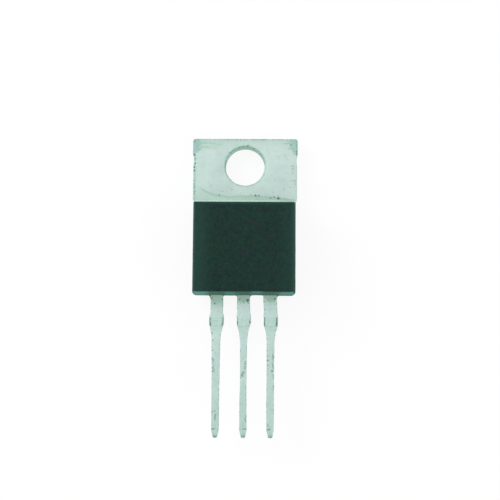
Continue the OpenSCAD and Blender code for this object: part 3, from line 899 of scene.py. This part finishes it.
def body_ring(z, side_inset, corner_r, bulge=0.0):
    """The body's outline at one height. A bulge stands out raggedly, as flash does."""
    top_inset = max(0, z - TAB_T) * math.tan(FRONT_DRAFT) + side_inset[1]
    half = BODY_W / 2 - side_inset[0]
    low = BODY_END + side_inset[0]
    high = BODY_START - top_inset
    r = TAB_END_CORNER_R
    loop = arc((half - corner_r, low + corner_r), corner_r, -90, 0, 8)
    loop += [Vector((half, low + corner_r + (high - r - low - corner_r) * i / 40)) for i in range(1, 40)]
    loop += arc((half - r, high - r), r, 0, 90, 4)
    loop += [Vector((half - r - (half - r) * i / 20, high)) for i in range(1, 21)]
    left = [Vector((-p.x, p.y)) for p in reversed(loop[:-1])]
    loop += left
    for i in range(1, 40):
        x = -half + corner_r + 2 * (half - corner_r) * i / 40
        loop.append(Vector((x, low + 0.045 * math.exp(-((x - PITCH / 2) / 0.6) ** 4))))
    if bulge:
        ways = outward(loop)
        loop = [p + w * bulge * max(0, 0.35 + noise.noise(Vector((p.x * 2.1, p.y * 2.1, 4)))) * (p.y < BODY_START - 1)
                for p, w in zip(loop, ways)]
    return [(p.x, p.y, z) for p in loop]


def body_levels():
    """Height, insets, corner radius and flash of each ring, from the back to the front."""
    wall_r = FRONT_CORNER_R + (BODY_FRONT - PART_Z) * math.tan(FRONT_DRAFT)
    back_inset = (PART_Z - BODY_BACK) * math.tan(BACK_DRAFT)
    levels = []
    for i in range(5):
        bearing = math.radians(90 * i / 4)
        extra = BACK_EDGE_R * (1 - math.sin(bearing))
        levels.append((BODY_BACK + BACK_EDGE_R * (1 - math.cos(bearing)), back_inset + extra, extra, 0))
    seam = 0.02
    levels += [(PART_Z - seam, 0, 0, 0), (PART_Z - seam / 2, 0, 0, 0.01), (PART_Z + seam / 2, 0, 0, 0.01),
               (PART_Z + seam, 0, 0, 0)]
    reach = FRONT_EDGE_R * math.tan((math.pi / 2 - FRONT_DRAFT) / 2)
    front_inset = (BODY_FRONT - PART_Z) * math.tan(FRONT_DRAFT)
    for i in range(9):
        bearing = FRONT_DRAFT + (math.pi / 2 - FRONT_DRAFT) * i / 8
        z = BODY_FRONT - FRONT_EDGE_R + FRONT_EDGE_R * math.sin(bearing)
        inset = front_inset + reach - FRONT_EDGE_R * math.cos(bearing)
        drafted = (z - PART_Z) * math.tan(FRONT_DRAFT)
        levels.append((z, inset, inset - drafted, 0))
    return [(z, (inset, extra), max(wall_r - inset, 0.06), bulge) for z, inset, extra, bulge in levels]


def make_body(material):
    solid = Solid()
    rings = [solid.ring(body_ring(z, insets, r, bulge)) for z, insets, r, bulge in body_levels()]
    for low, high in zip(rings, rings[1:]):
        solid.join(low, high)
    solid.cap(rings[:1], False)
    solid.cap(rings[-1:], True)
    solid.make("epoxy_body", material, "moulded_epoxy", "moulded_body", crease=50)


def root_flash(solid, x, side, width, length):
    """A thin ragged web of flash in the corner between the body and one side of a lead."""
    half = ROOT_W / 2 - 0.05
    loop = [Vector((half, BODY_END - length))]
    for t in (0.8, 0.6, 0.45, 0.3, 0.15):
        ragged = 0.02 * noise.noise(Vector((x * 3, t * 9, side)))
        loop.append(Vector((half + width * (1 - t) ** 1.6 + abs(ragged), BODY_END - length * t)))
    loop += [Vector((half + width * 1.15, BODY_END)), Vector((half + width * 1.15, BODY_END + 0.05)),
             Vector((half, BODY_END + 0.05))]
    if side < 0:
        loop = mirrored(loop)
    rings = [solid.ring([(p.x + x, p.y, PART_Z + dz) for p in loop]) for dz in (-0.09, 0.09)]
    solid.join(*rings)
    solid.cap(rings[:1], False)
    solid.cap(rings[-1:], True)


def make_flash(material):
    solid = Solid()
    for x, side, width, length in (
            (-PITCH, -1, 0.15, 0.4), (-PITCH, 1, 0.09, 0.25), (0, -1, 0.13, 0.25), (0, 1, 0.1, 0.25),
            (PITCH, -1, 0.09, 0.25), (PITCH, 1, 0.14, 0.28)):
        root_flash(solid, x, side, width, length)
    solid.make("root_flash", material, "moulded_epoxy")


# Studio

def make_floor():
    """A plain white floor that keeps the shadow. Seen from below it is clear, so that the back can be viewed."""
    size = 0.8
    mesh = bpy.data.meshes.new("floor")
    steps = 64
    corners = [(size * math.cos(math.tau * i / steps), size * math.sin(math.tau * i / steps), -0.01 * MM)
               for i in range(steps)]
    mesh.from_pydata(corners, [], [tuple(range(steps))])
    floor = bpy.data.objects.new("floor", mesh)
    bpy.context.scene.collection.objects.link(floor)
    material = bpy.data.materials.new("white_floor")
    material.use_nodes = True
    tree = material.node_tree
    tree.nodes.clear()
    output = tree.nodes.new("ShaderNodeOutputMaterial")
    paper = tree.nodes.new("ShaderNodeBsdfDiffuse")
    paper.inputs["Color"].default_value = (0.95, 0.95, 0.95, 1)
    glow = tree.nodes.new("ShaderNodeEmission")
    glow.inputs["Strength"].default_value = 1.0
    clear = tree.nodes.new("ShaderNodeBsdfTransparent")
    path = tree.nodes.new("ShaderNodeLightPath")
    geometry = tree.nodes.new("ShaderNodeNewGeometry")

    def math_node(operation, first, second):
        made = tree.nodes.new("ShaderNodeMath")
        made.operation = operation
        for socket, value in zip(made.inputs, (first, second)):
            if isinstance(value, bpy.types.NodeSocket):
                tree.links.new(value, socket)
            else:
                socket.default_value = value
        return made.outputs[0]

    def mixed(share, first, second):
        made = tree.nodes.new("ShaderNodeMixShader")
        for socket, value in zip(made.inputs, (share, first, second)):
            tree.links.new(value, socket)
        return made.outputs[0]

    seen = math_node("MAXIMUM", path.outputs["Is Camera Ray"],
                     math_node("MAXIMUM", path.outputs["Is Glossy Ray"], path.outputs["Is Transmission Ray"]))
    place = tree.nodes.new("ShaderNodeVectorMath")
    place.operation = "LENGTH"
    tree.links.new(geometry.outputs["Position"], place.inputs[0])
    far = tree.nodes.new("ShaderNodeMapRange")
    tree.links.new(place.outputs["Value"], far.inputs["Value"])
    for name, value in (("From Min", 40 * MM), ("From Max", 90 * MM), ("To Min", FLOOR_GLOW), ("To Max", 1)):
        far.inputs[name].default_value = value
    top = mixed(math_node("MULTIPLY", seen, far.outputs[0]), paper.outputs[0], glow.outputs[0])
    touching = math_node("LESS_THAN", path.outputs["Ray Length"], 0.2 * MM)
    away = math_node("MULTIPLY", touching, math_node("SUBTRACT", 1, path.outputs["Is Camera Ray"]))
    through = math_node("MAXIMUM", geometry.outputs["Backfacing"], away)
    tree.links.new(mixed(through, top, clear.outputs[0]), output.inputs["Surface"])
    mesh.materials.append(material)


FLOOR_GLOW = 0.88
WORLD_FILL = 0.78


def make_world():
    """White to the eye and in reflections, and a softer fill on the surfaces themselves."""
    world = bpy.data.worlds.new("studio")
    bpy.context.scene.world = world
    world.use_nodes = True
    tree = world.node_tree
    background = tree.nodes["Background"]
    background.inputs["Color"].default_value = (1, 1, 1, 1)
    path = tree.nodes.new("ShaderNodeLightPath")
    first = tree.nodes.new("ShaderNodeMath")
    first.operation = "MAXIMUM"
    tree.links.new(path.outputs["Is Camera Ray"], first.inputs[0])
    tree.links.new(path.outputs["Is Glossy Ray"], first.inputs[1])
    second = tree.nodes.new("ShaderNodeMath")
    second.operation = "MAXIMUM"
    tree.links.new(first.outputs[0], second.inputs[0])
    tree.links.new(path.outputs["Is Transmission Ray"], second.inputs[1])
    strength = tree.nodes.new("ShaderNodeMapRange")
    tree.links.new(second.outputs[0], strength.inputs["Value"])
    strength.inputs["To Min"].default_value = WORLD_FILL
    strength.inputs["To Max"].default_value = 1.0
    tree.links.new(strength.outputs[0], background.inputs["Strength"])


def make_lamp(name, place, size, power):
    """A square soft box, aimed at the middle of the part."""
    data = bpy.data.lights.new(name, "AREA")
    data.shape = "SQUARE"
    data.size = size
    data.energy = power
    lamp = bpy.data.objects.new(name, data)
    target = Vector((0, -12 * MM, 2 * MM))
    lamp.location = target + Vector(place)
    lamp.rotation_mode = "QUATERNION"
    lamp.rotation_quaternion = (target - lamp.location).to_track_quat("-Z", "Y")
    lamp.visible_camera = False
    bpy.context.scene.collection.objects.link(lamp)


# Putting it together

tab_metal = tab_material()
left_metal = lead_material(
    "tinned_input_lead", -PITCH, (-13.8, 0.3, 0.55, 0, 0.72), (0.85, 0.6, 0.8, 0.5, 0.5),
    ((-2.74, -13.42, 0.08), (-1.98, -13.43, 0.07), (-2.88, -13.11, 0.06), (-1.97, -13.05, 0.09),
     (-2.98, -12.95, 0.1), (-2.92, -16.24, 0.08), (-2.16, -16.36, 0.08), (-2.86, -16.9, 0.07), (-2.2, -19.2, 0.07), (-2.6, -23.4, 0.07)),
    (((-2.8, -18.7), (-2.73, -19.75), 0.1), ((-2.53, -23.7), (-2.57, -24.3), 0.12)), -0.2)
middle_metal = lead_material(
    "tinned_ground_lead", 0.0, (-13.36, 0.35, 0.09, 0.5, 1), (0.7, 0.25, 0.3, 0, 0),
    ((0.38, -13.11, 0.19), (0.4, -13.08, 0.12), (-0.37, -13.03, 0.09), (-0.07, -13.18, 0.08), (0.42, -13.39, 0.08),
     (0.59, -15.14, 0.07), (-0.54, -15.18, 0.07)),
    (((0.2, -18.85), (0.18, -19.55), 0.1), ((0.02, -19.8), (-0.05, -20.15), 0.24),
     ((0.24, -24), (0.24, -24.4), 0.07)),
    0.14)
right_metal = lead_material(
    "tinned_output_lead", PITCH, (-13.31, 1.3, 0.09, 0.3, 1), (1, 1, 0.6, 1, 0.35),
    ((2.97, -12.97, 0.105), (1.95, -13.23, 0.08), (2.02, -13.97, 0.07), (1.96, -14.39, 0.06),
     (2.34, -18.33, 0.07), (2.34, -18.73, 0.07), (2.34, -19.18, 0.07), (2.34, -19.45, 0.06),
     (2.73, -19.7, 0.12), (2.76, -19.15, 0.08)),
    (((2.76, -18), (2.76, -19.5), 0.08), ((2.84, -20), (2.84, -20.4), 0.07), ((2.84, -20.8), (2.84, -21.5), 0.06),
     ((2.22, -24.5), (2.4, -24.8), 0.06)), -0.17)
epoxy = epoxy_material()
silicon = silicon_material()
solder = solder_material()
wire = wire_material()

make_body(epoxy)
make_flash(epoxy)
make_tab(tab_metal, middle_metal)
make_lead("input_lead_blade", "input_lead", -1, (1.17, 0.81, 0.7, 0), (0.03, 0, -0.035),
          (), 23, left_metal)
make_lead("output_lead_blade", "output_lead", 1, (1.26, 0.74, 0.7, 0.01), (-0.043, 0.03, 0.012),
          ((1, -15.77, 0.22, 0.07), (-1, -13.2, 0.45, 0.03), (-1, -14.98, 0.3, -0.03),
           (-1, -16.3, 0.5, -0.03), (-1, -22.8, 1.3, 0.022)), 37, right_metal)

for node, metal in (("regulator_die", silicon), ("die_solder", solder), ("input_wire", wire),
                    ("output_wire_a", wire), ("output_wire_b", wire), ("ground_wire", wire)):
    for material_slot in frame["nodes"][node].material_slots:
        material_slot.material = metal

bpy.context.scene.view_settings.view_transform = "Standard"
make_floor()
make_world()
make_lamp("key", (-0.2, 0.13, 0.14), 0.16, 0.36)
make_lamp("fill", (0.24, -0.1, 0.14), 0.2, 0.16)
